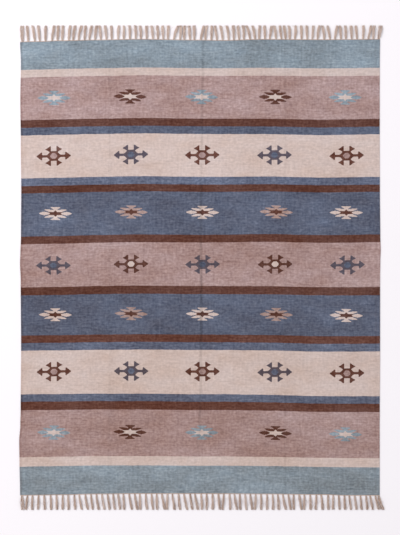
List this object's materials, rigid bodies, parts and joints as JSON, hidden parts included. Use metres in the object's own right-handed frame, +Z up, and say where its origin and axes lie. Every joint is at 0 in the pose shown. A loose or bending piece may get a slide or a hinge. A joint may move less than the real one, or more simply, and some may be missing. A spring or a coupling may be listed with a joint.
{
  "type": "kilim rug",
  "caption": "Flat-woven banded rug with rows of small star and arrow motifs and a short fringe at each end, laid on a floor to cover and soften it.",
  "frame": {"origin": "bottom centre of the whole rug, fringes included, on the floor under its middle", "axes": "+X across the rug, +Y along the rug towards its head end, +Z up through its thickness"},
  "size_m": [1.8286, 2.429, 0.0044],
  "materials": {
    "cloth": "matte weft-faced wool flatweave in bands of light blue, cream, mauve, brown and dark blue, with woven star and arrow motifs",
    "fringe": "matte undyed beige cotton yarn, loosely bunched"
  },
  "bodies": {
    "root": {"kilim_cloth": "cloth", "fringe_head": "fringe", "fringe_foot": "fringe"}
  },
  "joints": []
}
